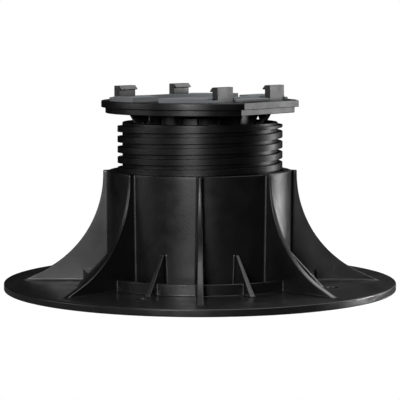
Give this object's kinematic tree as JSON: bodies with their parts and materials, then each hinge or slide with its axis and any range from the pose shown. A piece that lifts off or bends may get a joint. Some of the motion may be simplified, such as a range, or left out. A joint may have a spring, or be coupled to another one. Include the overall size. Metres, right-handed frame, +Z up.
{
  "type": "raised floor pedestal",
  "caption": "Adjustable raised floor pedestal: a finned flanged base, a hollow threaded column that screws up and down in it, and a self-levelling joist head with rubber grip pads.",
  "frame": {"origin": "centre of the flange's underside, on the ground", "axes": "+Z up along the thread's axis; +Y along the joist; +X across the joist, towards the flat side of the head's plate"},
  "size_m": [0.2, 0.2, 0.1033],
  "materials": {
    "black_plastic": "black moulded polypropylene, satin",
    "grey_rubber": "light grey moulded rubber, dull"
  },
  "bodies": {
    "base": {"base": "black_plastic"},
    "seat": {"seat_ring": "black_plastic"},
    "column": {"threaded_column": "black_plastic"},
    "head": {"joist_head": "black_plastic", "grip_pad_round": "grey_rubber", "grip_pad_flat": "grey_rubber"}
  },
  "joints": [
    {"name": "height", "type": "slide", "parent": "base", "child": "seat", "axis": [0, 0, 1], "range_m": [-0.0209, 0.0167]},
    {"name": "column_turn", "type": "hinge", "parent": "seat", "child": "column", "pos_m": [0, 0, 0.07], "axis": [0, 0, 1], "range_deg": [-1440, 1152]},
    {"name": "head_tilt", "type": "hinge", "parent": "seat", "child": "head", "pos_m": [0, 0, 0.107], "axis": [1, 0, 0], "range_deg": [-2.86, 2.86]}
  ],
  "couplings": [
    {"joint": "column_turn", "follows": "height", "rad_per_m": 1201.4}
  ]
}
